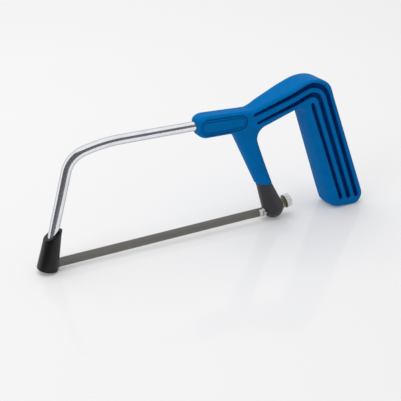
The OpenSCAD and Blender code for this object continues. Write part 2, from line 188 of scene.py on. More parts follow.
def addMix(tree, factor, first, second):
    step = tree.nodes.new("ShaderNodeMix")
    step.data_type = "RGBA"
    for key, value in (("factor", factor), ("first", first), ("second", second)):
        socket = step.inputs[mixSockets[key]]
        if isinstance(value, tuple):
            socket.default_value = value
        else:
            tree.links.new(value, socket)
    return step.outputs[mixSockets["result"]]


def addBump(tree, height, strength, distance, shader):
    bump = tree.nodes.new("ShaderNodeBump")
    bump.inputs["Strength"].default_value = strength
    bump.inputs["Distance"].default_value = distance * mm
    tree.links.new(height, bump.inputs["Height"])
    tree.links.new(bump.outputs["Normal"], shader.inputs["Normal"])


grainNoise = {"fine": (2.0, 0.55), "broad": (4.0, 0.6), "rubFine": 0.35, "rubBroad": 0.65}
lineNoise = {"line": (3.0, 0.65), "cloud": (3.0, 0.5)}


# fine grain and soft clouds of a moulded surface
def mouldGrainGroup():
    group, start, end = startGroup(
        "mouldGrain",
        [("Coords", "NodeSocketVector"), ("Grain", "NodeSocketFloat"), ("Clouds", "NodeSocketFloat")],
        [("Shade", "NodeSocketFloat"), ("Height", "NodeSocketFloat"), ("Rub", "NodeSocketFloat")])
    fine = addNoise(group, start.outputs["Coords"], start.outputs["Grain"], *grainNoise["fine"])
    broad = addNoise(group, start.outputs["Coords"], start.outputs["Clouds"], *grainNoise["broad"])
    rubbed = addMath(group, "ADD", addMath(group, "MULTIPLY", fine, grainNoise["rubFine"]),
                     addMath(group, "MULTIPLY", broad, grainNoise["rubBroad"]))
    group.links.new(addRange(group, broad, *noiseSpread, 0.0, 1.0), end.inputs["Shade"])
    group.links.new(fine, end.inputs["Height"])
    group.links.new(rubbed, end.inputs["Rub"])
    return group


# lines left by drawing, grinding or turning, along whatever direction the coordinates are stretched in
def drawnLinesGroup():
    group, start, end = startGroup(
        "drawnLines",
        [("Coords", "NodeSocketVector"), ("Lines", "NodeSocketFloat"), ("Clouds", "NodeSocketFloat")],
        [("Line", "NodeSocketFloat"), ("Cloud", "NodeSocketFloat")])
    line = addNoise(group, start.outputs["Coords"], start.outputs["Lines"], *lineNoise["line"])
    cloud = addNoise(group, start.outputs["Coords"], start.outputs["Clouds"], *lineNoise["cloud"])
    group.links.new(addRange(group, line, *noiseSpread, 0.0, 1.0), end.inputs["Line"])
    group.links.new(addRange(group, cloud, *noiseSpread, 0.0, 1.0), end.inputs["Cloud"])
    return group


mouldGrain = mouldGrainGroup()
drawnLines = drawnLinesGroup()


def startMaterial(name, group, values, stretch=(1, 1, 1), turn=(0, 0, 0)):
    material = bpy.data.materials.new(name)
    material.use_nodes = True
    tree = material.node_tree
    shader = tree.nodes["Principled BSDF"]
    place = tree.nodes.new("ShaderNodeTexCoord").outputs["Object"]
    mapping = tree.nodes.new("ShaderNodeMapping")
    mapping.inputs["Scale"].default_value = stretch
    mapping.inputs["Rotation"].default_value = turn
    tree.links.new(place, mapping.inputs["Vector"])
    effect = tree.nodes.new("ShaderNodeGroup")
    effect.node_tree = group
    tree.links.new(mapping.outputs["Vector"], effect.inputs["Coords"])
    for key, value in values.items():
        effect.inputs[key].default_value = value
    return material, tree, shader, effect


# linear colour for a colour as a picture has it
def linear(*colour):
    shares = [c / 255 for c in colour]
    return tuple(((c + 0.055) / 1.055) ** 2.4 if c > 0.04045 else c / 12.92 for c in shares) + (1.0,)


def plasticMaterial(name, look):
    material, tree, shader, effect = startMaterial(
        name, mouldGrain, {"Grain": look["grain"], "Clouds": look["clouds"]})
    colour = addMix(tree, effect.outputs["Shade"], look["deep"], look["pale"])
    # painted shade: the colour goes darker inside the grooves and the plaque's lines
    if "shadeAttribute" in look:
        paintedShade = tree.nodes.new("ShaderNodeAttribute")
        paintedShade.attribute_name = look["shadeAttribute"]
        colour = addMix(tree, paintedShade.outputs["Fac"], colour, look["paintedShade"])
    tree.links.new(colour, shader.inputs["Base Color"])
    rough = addRange(tree, effect.outputs["Rub"], *noiseSpread, *look["roughness"])
    tree.links.new(rough, shader.inputs["Roughness"])
    shader.inputs["Specular IOR Level"].default_value = look["specular"]
    shader.inputs["Sheen Weight"].default_value = look.get("sheen", 0.0)
    addBump(tree, effect.outputs["Height"], look["bump"], look["bumpHeight"], shader)
    return material


def metalMaterial(name, look):
    material, tree, shader, effect = startMaterial(
        name, drawnLines, {"Lines": look["lines"], "Clouds": look["clouds"]},
        look.get("stretch", (1, 1, 1)), look.get("turn", (0, 0, 0)))
    colour = addMix(tree, effect.outputs["Cloud"], look["deep"], look["pale"])
    # painted shade: a darker colour at the edges stands in for a darker reflection there
    if "rim" in look:   # bright metal goes darker where it turns away
        turning = tree.nodes.new("ShaderNodeLayerWeight").outputs["Facing"]
        colour = addMix(tree, addRange(tree, turning, *look["rimFrom"], 0.0, 1.0), colour, look["rim"])
    if "collar" in look:   # other metal up to a place along the screw
        along = tree.nodes.new("ShaderNodeVectorMath")
        along.operation = "DOT_PRODUCT"
        along.inputs[1].default_value = look["axis"]
        tree.links.new(tree.nodes.new("ShaderNodeTexCoord").outputs["Object"], along.inputs[0])
        reach = look["shoulder"], look["shoulder"] + look["collarBlend"] * mm
        colour = addMix(tree, addRange(tree, along.outputs["Value"], *reach, 1.0, 0.0), colour, look["collar"])
    tree.links.new(colour, shader.inputs["Base Color"])
    shader.inputs["Metallic"].default_value = look["metallic"]
    rough = addRange(tree, effect.outputs["Line"], 0.0, 1.0, *look["roughness"])
    tree.links.new(rough, shader.inputs["Roughness"])
    addBump(tree, effect.outputs["Line"], look["bump"], look["bumpHeight"], shader)
    return material


# the blue plastic, with a darker colour painted as shade in its grooves and plaque lines
bluePlasticLook = {
    "deep": linear(0, 100, 165), "pale": linear(0, 107, 175), "paintedShade": linear(1, 76, 148),
    "shadeAttribute": "grooveShade", "grain": 2600, "clouds": 120, "roughness": (0.42, 0.56),
    "specular": 0.022, "bump": 0.12, "bumpHeight": 0.05,
}
blackPlasticLook = {
    "deep": linear(9, 9, 11), "pale": linear(15, 15, 17), "grain": 3000, "clouds": 260,
    "roughness": (0.3, 0.42), "specular": 0.3, "bump": 0.16, "bumpHeight": 0.05, "sheen": 0.07,
}
greyPlasticLook = {
    "deep": linear(29, 28, 31), "pale": linear(37, 36, 40), "grain": 3000, "clouds": 260,
    "roughness": (0.4, 0.54), "specular": 0.45, "bump": 0.2, "bumpHeight": 0.05, "sheen": 0.12,
}
# chrome, with painted shade that darkens its edges where they turn away
chromeLook = {
    "deep": linear(224, 227, 232), "pale": linear(240, 242, 246), "metallic": 1.0, "lines": 900, "clouds": 150,
    "rim": linear(126, 128, 134), "rimFrom": (0.36, 0.85), "roughness": (0.12, 0.2), "bump": 0.02,
    "bumpHeight": 0.02,
}
bladeLook = {
    "deep": linear(114, 112, 107), "pale": linear(131, 129, 123), "metallic": 0.75, "lines": 1, "clouds": 0.12,
    "stretch": (60, 2500, 2500), "turn": (0, math.radians(0.76), 0), "roughness": (0.4, 0.58), "bump": 0.12,
    "bumpHeight": 0.03,
}
pinLook = {
    "deep": linear(176, 174, 168), "pale": linear(206, 204, 198), "metallic": 1.0, "lines": 1800, "clouds": 300,
    "roughness": (0.22, 0.38), "bump": 0.08, "bumpHeight": 0.03,
}
nickelLook = {
    "deep": linear(214, 213, 205), "pale": linear(240, 240, 235), "metallic": 0.4, "lines": 1600, "clouds": 350,
    "roughness": (0.3, 0.46), "bump": 0.08, "bumpHeight": 0.03,
}
nutLook = {
    "deep": linear(206, 206, 198), "pale": linear(255, 255, 251), "metallic": 0.15, "lines": 1600, "clouds": 1000,
    "roughness": (0.3, 0.46), "bump": 0.08, "bumpHeight": 0.03, "collar": linear(98, 92, 72), "collarL": 2.5,
    "collarBlend": 0.1, "collarTilt": 12.6,
}
brassLook = {
    "deep": linear(122, 112, 80), "pale": linear(158, 148, 112), "metallic": 1.0, "lines": 1600, "clouds": 350,
    "roughness": (0.24, 0.4), "bump": 0.08, "bumpHeight": 0.03,
}

bluePlastic = plasticMaterial("bluePlastic", bluePlasticLook)
blackPlastic = plasticMaterial("blackPlastic", blackPlasticLook)
greyPlastic = plasticMaterial("greyPlastic", greyPlasticLook)
chrome = metalMaterial("chromedBar", chromeLook)
bladeSteel = metalMaterial("bladeSteel", bladeLook)
pinSteel = metalMaterial("pinSteel", pinLook)
nickel = metalMaterial("nickelPlate", nickelLook)
brass = metalMaterial("washerBrass", brassLook)
screwAxis = direction(nutLook["collarTilt"])
nutLook["axis"] = (screwAxis.x, 0, screwAxis.y)
nutStart = min(point.co.dot(nutLook["axis"]) for point in nodes["thumb_nut"].data.vertices)
nutLook["shoulder"] = nutStart + nutLook["collarL"] * mm
nutPlate = metalMaterial("nutPlate", nutLook)
print("materials made")

# the handle, mm: one body from nose to foot, one for the leg, joined and softened like a moulding
handleShape = {
    "noseX": -11.15, "noseL": 6.2, "noseShare": 0.5, "noseWide": 0.64, "noseLift": 0.4, "noseTilt": 0.7,
    "noseEdge": 0.5, "noseSteps": (0.0, 0.06, 0.18, 0.36, 0.6, 0.82, 1.0),
    "armZ": 74.83, "armH": 14.2, "armW": 12.0, "armEdge": 2.6, "armStep": 4, "topFall": 1.0, "underFall": 0.37,
    "corner": (77.73, 100.98), "rake": 21.03, "cornerX": 21.18, "cornerZ": 14.27, "innerR": 6.5,
    "kinkR": 30.0, "kinkSteps": 6, "widenX": 22.5, "bridgeSteps": 7, "cornerSteps": 16, "gripSteps": 10,
    "bridgeH": 14.95, "gripDepth": 22.77, "frontLean": 19.92, "rearLean": 22.39, "gripW": 20.0,
    "edgeOuter": 3.1, "edgeInner": 5.0, "gripCrown": 0.5,
    "heelR": 6.95, "toeR": 4.1, "toeLift": 1.04, "soleR": 2.0, "footZ": 12.0,
    "footSteps": (10.0, 8.4, 6.8, 5.0, 3.6, 2.5, 1.7, 1.05, 0.55, 0.2, 0.04, 0.0),
    "legFoot": (47.67, 7.495), "legLean": 23.3, "legLowD": 10.0, "legTopL": 13.5, "legTopW": 11.4,
    "legWaist": 0.35, "legStart": 14.0, "legEnd": 73.0, "legEdges": (0.98, 0.42), "handR": 8.4, "frontR": 8.0,
    "legSteps": (10, 8, 12), "flarePast": 1,
    "jointRise": 21.4, "jointTilt": 10.0, "jointGap": 0.14,
    "barD": 6.1, "barZ": 75.4, "barDepth": 24.0,
    "faceSize": 0.4, "rounds": 6, "share": 0.55,
}
grooveShape = {
    "corner": (78.18, 100.6), "rake": 21.8, "centre": (-18.35, -15.5), "bends": (12.8, 6.85, 0.85),
    "widths": (3.05, 3.2, 2.55), "lows": (5.75, 6.0, 6.5), "innerTop": -14.3, "depth": 4.4, "tipDepth": 2.0,
    "tipWidth": 1.7, "tips": ((-55.7, -2.15), (-55.2, -8.2)), "shadeFrom": 0.15, "shadeOver": 0.5,
    "shadeGrow": 0.3, "shadePast": 0.3, "endSteps": 10, "bendSteps": 12, "tipSteps": 6,
}
plaqueShape = {
    "length": 32.5, "height": 10.9, "lines": ((0.0, 0.85, 0.6), (1.6, 0.5, 0.4)), "back": 17.65, "shade": 0.45,
    "falls": (-0.3, 1.0), "endSteps": 12, "shadeGrow": 0.2, "shadeFrom": 0.25, "shadeTo": 0.8,
}


sectionShape = {"perCorner": 8, "perFace": 5, "mostOfWidth": 0.98, "mostOfDepth": 0.49}


# ring of a rounded section between an inner and an outer point of the middle plane
def sectionRing(inner, outer, halfWidth, edgeInner, edgeOuter, crownInner=0.0):
    perCorner, perFace = sectionShape["perCorner"], sectionShape["perFace"]
    inner, outer = Vector(inner), Vector(outer)
    along = (outer - inner).normalized()
    depth = (outer - inner).length
    ring = []
    for end, sign, edge, crown in ((outer, 1, edgeOuter, 0.0), (inner, -1, edgeInner, crownInner)):
        edge = min(edge, halfWidth * sectionShape["mostOfWidth"], depth * sectionShape["mostOfDepth"])
        flat = halfWidth - edge
        for side in (sign, -sign):
            for step in range(perCorner):
                turn = math.pi / 2 * step / (perCorner - 1)
                if side != sign:
                    turn = math.pi / 2 - turn
                across = side * (flat + edge * math.cos(turn))
                reach = end + along * sign * edge * (math.sin(turn) - 1)
                ring.append((reach.x, across, reach.y))
            if side == sign:
                for step in range(1, perFace + 1):
                    share = 1 - 2 * step / (perFace + 1)
                    reach = end + along * sign * crown * (1 - share * share)
                    ring.append((reach.x, side * flat * share, reach.y))
    return ring


# places in the frame of the bridge, or of the grooves, which starts at a sharp corner and slopes with the rake
def localToWorld(x, z, shape=handleShape):
    return Vector(shape["corner"]) + x * direction(shape["rake"]) + z * direction(90 + shape["rake"])


def worldToLocal(x, z, shape=handleShape):
    offset = Vector((x, z)) - Vector(shape["corner"])
    return offset.dot(direction(shape["rake"])), offset.dot(direction(90 + shape["rake"]))


# half the width of bridge and grip at a place along the bridge
def halfWidthAt(localX):
    s = handleShape
    wide = -s["gripDepth"] - s["innerR"]
    narrow = worldToLocal(s["widenX"], s["armZ"])[0]
    share = min(max((localX - narrow) / (wide - narrow), 0), 1)
    return s["armW"] / 2 + share * (s["gripW"] - s["armW"]) / 2, share


# section of arm, bridge or grip between two places, its edges growing rounder from arm to grip
def handleRing(inner, outer, width, share, crown=0.0):
    s = handleShape
    edges = [s["armEdge"] + share * (s[key] - s["armEdge"]) for key in ("edgeInner", "edgeOuter")]
    return sectionRing(inner, outer, width, *edges, crown)


# where a ray from inside the hand opening leaves the handle's rounded outer corner
def outerCorner(pivot, angle):
    deepX, deepZ = handleShape["cornerX"], handleShape["cornerZ"]
    ray = direction(angle)
    start = Vector((pivot.x / deepX + 1, pivot.y / deepZ + 1))
    step = Vector((ray.x / deepX, ray.y / deepZ))
    ahead = -start.dot(step) / step.length_squared
    far = ahead + math.sqrt(max(ahead ** 2 - (start.length_squared - 1) / step.length_squared, 0))
    hit = pivot + far * ray
    if hit.x < -deepX:
        hit = pivot + ray * (-pivot.y / ray.y)
    elif hit.y < -deepZ:
        hit = pivot + ray * (-pivot.x / ray.x)
    return hit


# how far the arm's top and underside have come down at a share of the way from nose to kink
def armFall(share):
    return Vector((0, handleShape["underFall"] * share)), Vector((0, handleShape["topFall"] * share))


# start of the bend from arm to bridge, where the bridge's middle line comes down to the arm's
def kinkPlace():
    s = handleShape
    start = localToWorld(0, -s["bridgeH"] / 2)
    slope = math.tan(math.radians(s["rake"]))
    bend = s["kinkR"] * math.tan(math.radians(s["rake"] / 2))
    return Vector((start.x - (start.y - s["armZ"]) / slope - bend, s["armZ"]))


# share of the way along the straight arm at a place
def armShare(x):
    straight = handleShape["noseX"] + handleShape["noseL"]
    return min(max((x - straight) / (kinkPlace().x - straight), 0), 1)


def spineRings():
    s = handleShape
    rings = []
    half = Vector((0, s["armH"] / 2))
    for share in s["noseSteps"]:   # rounded nose, its end leaning back
        swell = math.sqrt(1 - (1 - share) ** 2)
        size = s["noseShare"] + (1 - s["noseShare"]) * swell
        middle = s["armZ"] + s["noseLift"] * (1 - swell)
        x = s["noseX"] + s["noseL"] * share
        lean = s["noseTilt"] * size * (1 - share)
        wide = s["armW"] / 2 * (s["noseWide"] + (1 - s["noseWide"]) * swell)
        edge = s["armEdge"] + s["noseEdge"] * (1 - share)
        rings.append(sectionRing((x + lean, middle - half.y * size), (x - lean, middle + half.y * size),
                                 wide, edge, edge))
    x = s["noseX"] + s["noseL"]
    kinkStart = kinkPlace()
    while x + s["armStep"] < kinkStart.x:
        x += s["armStep"]
        middle = Vector((x, s["armZ"]))
        under, over = armFall(armShare(x))
        rings.append(handleRing(middle - half - under, middle + half - over, *halfWidthAt(worldToLocal(*middle)[0])))
    kinkCentre = kinkStart + Vector((0, s["kinkR"]))
    for step in range(s["kinkSteps"] + 1):   # bend from arm to bridge
        angle = s["rake"] * step / s["kinkSteps"]
        middle = kinkCentre - s["kinkR"] * direction(90 + angle)
        up = direction(90 + angle) * (half.y + (s["bridgeH"] / 2 - half.y) * step / s["kinkSteps"])
        under, over = armFall(1 - step / s["kinkSteps"])
        rings.append(handleRing(middle - up - under, middle + up - over, *halfWidthAt(worldToLocal(*middle)[0])))
    pivot = Vector((-s["gripDepth"] - s["innerR"], -s["bridgeH"] - s["innerR"]))
    start = worldToLocal(*middle)[0]
    for x in sweep(start, pivot.x, s["bridgeSteps"])[1:-1]:   # bridge
        rings.append(handleRing(localToWorld(x, -s["bridgeH"]), localToWorld(x, 0), *halfWidthAt(x)))
    wide = s["gripW"] / 2
    for step, angle in enumerate(sweep(90, 0, s["cornerSteps"])):   # outer corner, as rays from the hand opening
        near = pivot + s["innerR"] * direction(angle)
        rings.append(handleRing(localToWorld(*near), localToWorld(*outerCorner(pivot, angle)), wide, 1,
                                s["gripCrown"] * step / s["cornerSteps"]))
    frontTop = localToWorld(-s["gripDepth"], pivot.y)
    rearTop = localToWorld(0, pivot.y)
    frontSlope, rearSlope = (math.tan(math.radians(s[key])) for key in ("frontLean", "rearLean"))
    for share in sweep(0, 1, s["gripSteps"])[1:]:   # grip, deeper to the foot, its sections turning level
        frontZ = frontTop.y + (s["footZ"] - frontTop.y) * share
        rearZ = rearTop.y + (s["footZ"] - rearTop.y) * share
        rings.append(handleRing((frontTop.x + (frontTop.y - frontZ) * frontSlope, frontZ),
                                (rearTop.x + (rearTop.y - rearZ) * rearSlope, rearZ), wide, 1, s["gripCrown"]))
    toward, away = direction(s["rearLean"]), direction(s["frontLean"])
    heel = rearTop.x + rearTop.y * rearSlope - s["heelR"] * (1 + toward.y) / toward.x
    toe = frontTop.x + (frontTop.y - s["toeR"] * (1 - away.y)) * frontSlope + s["toeR"] * away.x
    for z in s["footSteps"]:   # rounded foot, its toe lifted
        rear = rearTop.x + (rearTop.y - z) * rearSlope
        if z < s["heelR"] * (1 + toward.y):
            rear = heel + math.sqrt(s["heelR"] ** 2 - (s["heelR"] - z) ** 2)
        front = frontTop.x + (frontTop.y - z) * frontSlope
        if z < s["toeR"] * (1 - away.y):
            front = toe - math.sqrt(s["toeR"] ** 2 - (s["toeR"] - z) ** 2)
        side = wide
        if z < s["soleR"]:
            side -= s["soleR"] - math.sqrt(s["soleR"] ** 2 - (s["soleR"] - z) ** 2)
        lift = s["toeLift"] * (1 - z / s["footZ"])
        rings.append(handleRing((front, z + lift), (rear, z), side, 1, s["gripCrown"]))
    return rings


def legRings():
    s = handleShape
    foot = Vector(s["legFoot"])
    up, back = direction(90 + s["legLean"]), direction(s["legLean"])
    under = localToWorld(0, -s["bridgeH"]) - foot
    handRise = under.dot(up) + math.tan(math.radians(s["rake"] - s["legLean"])) * (s["legTopL"] / 2 - under.dot(back))
    rings = []
    straight, flaring, inside = s["legSteps"]
    rises = sweep(s["legStart"], handRise - s["handR"], straight)
    rises += [handRise - s["handR"] * (1 - math.sin(turn)) for turn in sweep(0, math.pi / 2, flaring)[1:]]
    rises += [handRise + (s["legEnd"] - handRise) * share for share in sweep(0, 1, inside)[1:]]
    for rise in rises:
        share = (rise - s["legStart"]) / (s["legEnd"] - s["legStart"])
        depth = s["legLowD"] / 2 + share * (s["legTopL"] - s["legLowD"]) / 2
        width = s["legLowD"] / 2 + share * (s["legTopW"] - s["legLowD"]) / 2
        bend = math.sin(math.pi * min(max((rise - s["jointRise"]) / (handRise - s["jointRise"]), 0), 1))
        rear = depth - s["legWaist"] * bend
        flare = rise - (handRise - s["handR"])
        if 0 < flare <= s["handR"] + s["flarePast"]:
            rear += s["handR"] - math.sqrt(max(s["handR"] ** 2 - min(flare, s["handR"]) ** 2, 0.0))
        armRise = (s["armZ"] - s["armH"] / 2 - foot.y + depth * back.y) / up.y
        turn = math.radians(90 - s["legLean"])
        fillet = min(max(rise - armRise + s["frontR"] * math.tan(turn / 2), 0), s["frontR"] * math.sin(turn))
        front = depth + s["frontR"] - math.sqrt(s["frontR"] ** 2 - fillet ** 2)
        edgeLow, edgeLoss = s["legEdges"]
        edge = width * (edgeLow - edgeLoss * share)
        rings.append(sectionRing(foot + rise * up - front * back, foot + rise * up + rear * back, width, edge, edge))
    return rings


# outlines of the side grooves: up the grip, and for two of them round the corner and along the bridge to a tip
def grooveOutline(number, grow=0.0):
    g = grooveShape
    half, bend = g["widths"][number] / 2, g["bends"][number]
    centre = Vector(g["centre"])
    lane = centre.x + bend
    across = direction(g["rake"])
    low = Vector((lane, (g["lows"][number] + half - g["corner"][1] - lane * across.y) / across.x))
    high = Vector((lane, g["innerTop"] - half))
    wall, tip = half + grow, g["tipWidth"] / 2 + grow
    outline = [low + wall * direction(turn) for turn in sweep(180, 360, g["endSteps"])]
    if number == len(g["tips"]):
        outline += [high + wall * direction(turn) for turn in sweep(0, 180, g["endSteps"])]
    else:
        turns = sweep(0, 90, g["bendSteps"])
        outline += [centre + (bend + wall) * direction(turn) for turn in turns]
        outline += [Vector(g["tips"][number]) + tip * direction(turn) for turn in sweep(90, 270, g["tipSteps"])]
        outline += [centre + (bend - wall) * direction(turn) for turn in reversed(turns)]
    return [localToWorld(*point, g) for point in outline]


# surface and groove floor at a place of the side, as distances from the middle plane
def grooveWalls(place):
    g = grooveShape
    width, share = halfWidthAt(worldToLocal(*place)[0])
    return width, width - (g["tipDepth"] + share * (g["depth"] - g["tipDepth"]))


def cutGrooves(handle):
    cutters = []
    outside = handleShape["gripW"] / 2 + meshing["overshoot"]
    for side in (-1, 1):
        for number in range(len(grooveShape["bends"])):
            outline = grooveOutline(number)
            inner = [(place.x, side * grooveWalls(place)[1], place.y) for place in outline]
            outer = [(place.x, side * outside, place.y) for place in outline]
            cutters.append(drawThrough("grooveCutter", [inner, outer]))
    makeActive(cutters[0])
    for cutter in cutters:
        cutter.select_set(True)
    bpy.ops.object.join()
    combine(handle, cutters[0])


# ovals of the bare plaque on both sides of the arm
def ovalRing(length, height, across):
    s, p = handleShape, plaqueShape
    low, high = p["falls"]
    ring = []
    for end in (1, -1):
        for step in range(p["endSteps"] + 1):
            a = -math.pi / 2 + math.pi * step / p["endSteps"] + (0 if end == 1 else math.pi)
            x = s["noseX"] + p["back"] + end * (length - height) / 2 + height / 2 * math.cos(a)
            fall = armShare(x) * (low + (high - low) * (1 + math.sin(a)) / 2)
            ring.append((x, across, s["armZ"] + height / 2 * math.sin(a) - fall))
    return ring


def cutPlaque(handle):
    surface, past = handleShape["armW"] / 2, meshing["overshoot"]
    for side in (-1, 1):
        for inset, width, depth in plaqueShape["lines"]:
            sizes = [(plaqueShape["length"] - 2 * i, plaqueShape["height"] - 2 * i) for i in (inset, inset + width)]
            cutter = drawThrough("lineCutter", [ovalRing(*sizes[0], side * (surface - depth)),
                                                ovalRing(*sizes[0], side * (surface + past / 2))])
            core = drawThrough("lineCore", [ovalRing(*sizes[1], side * (surface - depth - past / 2)),
                                            ovalRing(*sizes[1], side * (surface + past))])
            combine(cutter, core)
            combine(handle, cutter)


def insideOutline(place, outline):
    inside = False
    for a, b in zip(outline, outline[1:] + outline[:1]):
        if (a.y > place.y) != (b.y > place.y) and place.x < a.x + (place.y - a.y) / (b.y - a.y) * (b.x - a.x):
            inside = not inside
    return inside


# painted shade inside the grooves and in the plaque's lines, kept on the points for the blue plastic
def paintGrooves(handle):
    g, p = grooveShape, plaqueShape
    outlines = [grooveOutline(number, g["shadeGrow"]) for number in range(len(g["bends"]))]
    oval = ovalRing(p["length"] + p["shadeGrow"], p["height"] + p["shadeGrow"], 0)
    plaque = [Vector((x, z)) for x, y, z in oval]
    armSide = handleShape["armW"] / 2
    values = []
    for point in handle.data.vertices:
        place = Vector((point.co.x / mm, point.co.z / mm))
        across = abs(point.co.y / mm)
        surface, floor = grooveWalls(place)
        value = 0.0
        mouth = surface - g["shadeFrom"]
        if floor - g["shadePast"] < across < mouth and any(insideOutline(place, o) for o in outlines):
            value = min((mouth - across) / g["shadeOver"], 1)
        elif armSide - p["shadeTo"] < across < armSide - p["shadeFrom"] and insideOutline(place, plaque):
            value = p["shade"]
        values.append(value)
    handle.data.attributes.new("grooveShade", "FLOAT", "POINT").data.foreach_set("value", values)


def buildHandle():
    s = handleShape
    handle = drawThrough("mouldedHandle", spineRings())
    leg = drawThrough("mouldedLeg", legRings())
    makeActive(leg)
    joint = Vector(s["legFoot"]) + s["jointRise"] * direction(90 + s["legLean"]) + Vector((0, s["jointGap"]))
    normal = direction(90 - s["jointTilt"])
    bpy.ops.object.mode_set(mode="EDIT")
    bpy.ops.mesh.select_all(action="SELECT")
    bpy.ops.mesh.bisect(plane_co=(joint.x * mm, 0, joint.y * mm), plane_no=(normal.x, 0, normal.y),
                        use_fill=True, clear_inner=True)
    bpy.ops.object.mode_set(mode="OBJECT")
    combine(handle, leg, "UNION")
    cutGrooves(handle)
    softenEdges(handle, s["faceSize"], s["rounds"], s["share"])
    cutPlaque(handle)
    deselectAll()
    bpy.ops.mesh.primitive_cylinder_add(vertices=meshing["roundCorners"], radius=s["barD"] / 2 * mm,
                                        depth=2 * s["barDepth"] * mm, rotation=(0, math.pi / 2, 0),
                                        location=(s["noseX"] * mm, 0, s["barZ"] * mm))
    combine(handle, bpy.context.object)
    paintGrooves(handle)
    finishPiece(handle, "frame", "handle_plastic", bluePlastic, "handle")


buildHandle()

# the bar, mm: straight runs (length, no turn) and bends (radius, turn) from its front end to its flat rear end
barShape = {
    "diameter": 6.0, "start": (-110.011, 2.0), "heading": 74.0, "points": 48, "step": 2.0,
    "path": ((61.586, 0), (16.0, -59.0), (1.0, 0), (85.0, -15.0), (69.97, 0), (12.0, -67.5), (59.48, 0)),
    "cross": (47.285, 7.495), "eye": (3.2, 9.0, 11.2), "eyeRise": 1.4, "screwTilt": 12.6, "screwHole": 4.1,
    "holeL": 20.0, "slot": (16.0, 0.95, 7.2), "slotAt": (-105.95, 3.6), "relief": (10.0, 12.0, 7.3),
    "reliefAt": (-114.21, 1.65),
}


def barRing(place, heading):
    b = barShape
    out = direction(heading + 90) * b["diameter"] / 2
    turns = [2 * math.pi * step / b["points"] for step in range(b["points"])]
    return [(place.x + out.x * math.cos(a), b["diameter"] / 2 * math.sin(a), place.y + out.y * math.cos(a))
            for a in turns]


def barRings():
    place, heading = Vector(barShape["start"]), barShape["heading"]
    rings = [barRing(place, heading)]
    for size, turn in barShape["path"]:
        steps = round(abs(turn) / barShape["step"]) or 1
        centre = place + size * direction(heading - 90)
        for step in range(steps):
            heading += turn / steps
            place = centre + size * direction(heading + 90) if turn else place + size * direction(heading)
            rings.append(barRing(place, heading))
    return rings


def addBlock(size, place, lean):
    deselectAll()
    bpy.ops.mesh.primitive_cube_add(size=mm, location=(place[0] * mm, 0, place[1] * mm),
                                    rotation=(0, -math.radians(lean), 0), scale=size)
    return bpy.context.object


def buildBar():
    b = barShape
    bar = drawThrough("bentBar", barRings())
    lean = b["heading"] + sum(turn for size, turn in b["path"]) + 90
    cross = Vector(b["cross"])
    combine(bar, addBlock(b["eye"], cross + b["eyeRise"] * direction(90 + lean), lean), "UNION")
    combine(bar, addBlock(b["slot"], b["slotAt"], 0))
    combine(bar, addBlock(b["relief"], b["reliefAt"], 0))
    deselectAll()
    bpy.ops.mesh.primitive_cylinder_add(vertices=meshing["holeCorners"], radius=b["screwHole"] / 2 * mm,
                                        depth=b["holeL"] * mm, location=(cross.x * mm, 0, cross.y * mm),
                                        rotation=(0, math.radians(90 - b["screwTilt"]), 0))
    combine(bar, bpy.context.object)
    finishPiece(bar, "frame", "chromed_bar", chrome, "frame_bar")


buildBar()

# the boots, softened like mouldings from the CAD shape
bootShape = {
    "softFrontBoot": {"node": "front_boot", "look": blackPlastic, "faceSize": 0.22, "rounds": 8, "share": 0.5},
    "softRearBoot": {"node": "rear_boot", "look": greyPlastic, "faceSize": 0.22, "rounds": 6, "share": 0.5},
}


def buildBoot(name, shape):
    makeActive(nodes[shape["node"]])
    bpy.ops.object.duplicate()
    boot = bpy.context.object
    boot.name = boot.data.name = name
    bpy.ops.object.mode_set(mode="EDIT")
    bpy.ops.mesh.select_all(action="SELECT")
    bpy.ops.mesh.remove_doubles(threshold=meshing["sameCadPoint"] * mm)
    bpy.ops.object.mode_set(mode="OBJECT")
    softenEdges(boot, shape["faceSize"], shape["rounds"], shape["share"])
    finishPiece(boot, "frame", "boot_plastic", shape["look"], shape["node"])


for name, shape in bootShape.items():
    buildBoot(name, shape)

# CAD pieces whose shape is right keep it, with their own finish
finishes = {
    "blade": bladeSteel, "front_blade_pin": pinSteel, "rear_blade_pin": pinSteel, "tension_screw": nickel,
    "washer": brass, "thumb_nut": nutPlate,
}
for name, material in finishes.items():
    nodes[name].data.materials.clear()
    nodes[name].data.materials.append(material)
print("CAD pieces finished")

# floor, light and camera, metres
studio = {
    "floor": 6.0, "floorColour": (0.71, 0.7, 0.696, 1), "floorGlow": 0.148, "glowColour": (1, 0.985, 0.975, 1),
    "floorRoughness": 0.08, "floorSpecular": 0.12,
    "sky": (0.94, 0.97, 1.0, 1), "skyStrength": 0.54, "backdrop": (0.98, 0.98, 0.985, 1),
    "lamps": {
        "topLamp": {"at": (-0.15, 0.25, 1.3), "aim": (0, 0, 0.04), "size": 1.6, "power": 11.6},
        "sideLamp": {"at": (-1.2, -0.4, 0.75), "aim": (0, 0, 0.05), "size": 0.8, "power": 3.6},
    },
    "screenR": 0.26, "screenH": 0.4, "screenRise": 0.39, "riseFrom": -0.1, "screenLift": 0.0006,
    "screenColour": (0.17, 0.17, 0.18, 1), "screenCorners": 96, "apron": 0.5, "apronTo": -0.06, "fromFloor": 0.002,
    "cameraAt": (-0.20458, -0.39262, 0.24099), "cameraAim": (-0.00715, 0, 0.02425), "lens": 69.08, "sensor": 36.0,
    "nearest": 0.01,
}


def lookAt(thing, aim):
    thing.rotation_mode = "QUATERNION"
    thing.rotation_quaternion = (Vector(aim) - Vector(thing.location)).to_track_quat("-Z", "Y")


def plainMaterial(name, values):
    material = bpy.data.materials.new(name)
    material.use_nodes = True
    shader = material.node_tree.nodes["Principled BSDF"]
    for key, value in values.items():
        shader.inputs[key].default_value = value
    return material, material.node_tree, shader


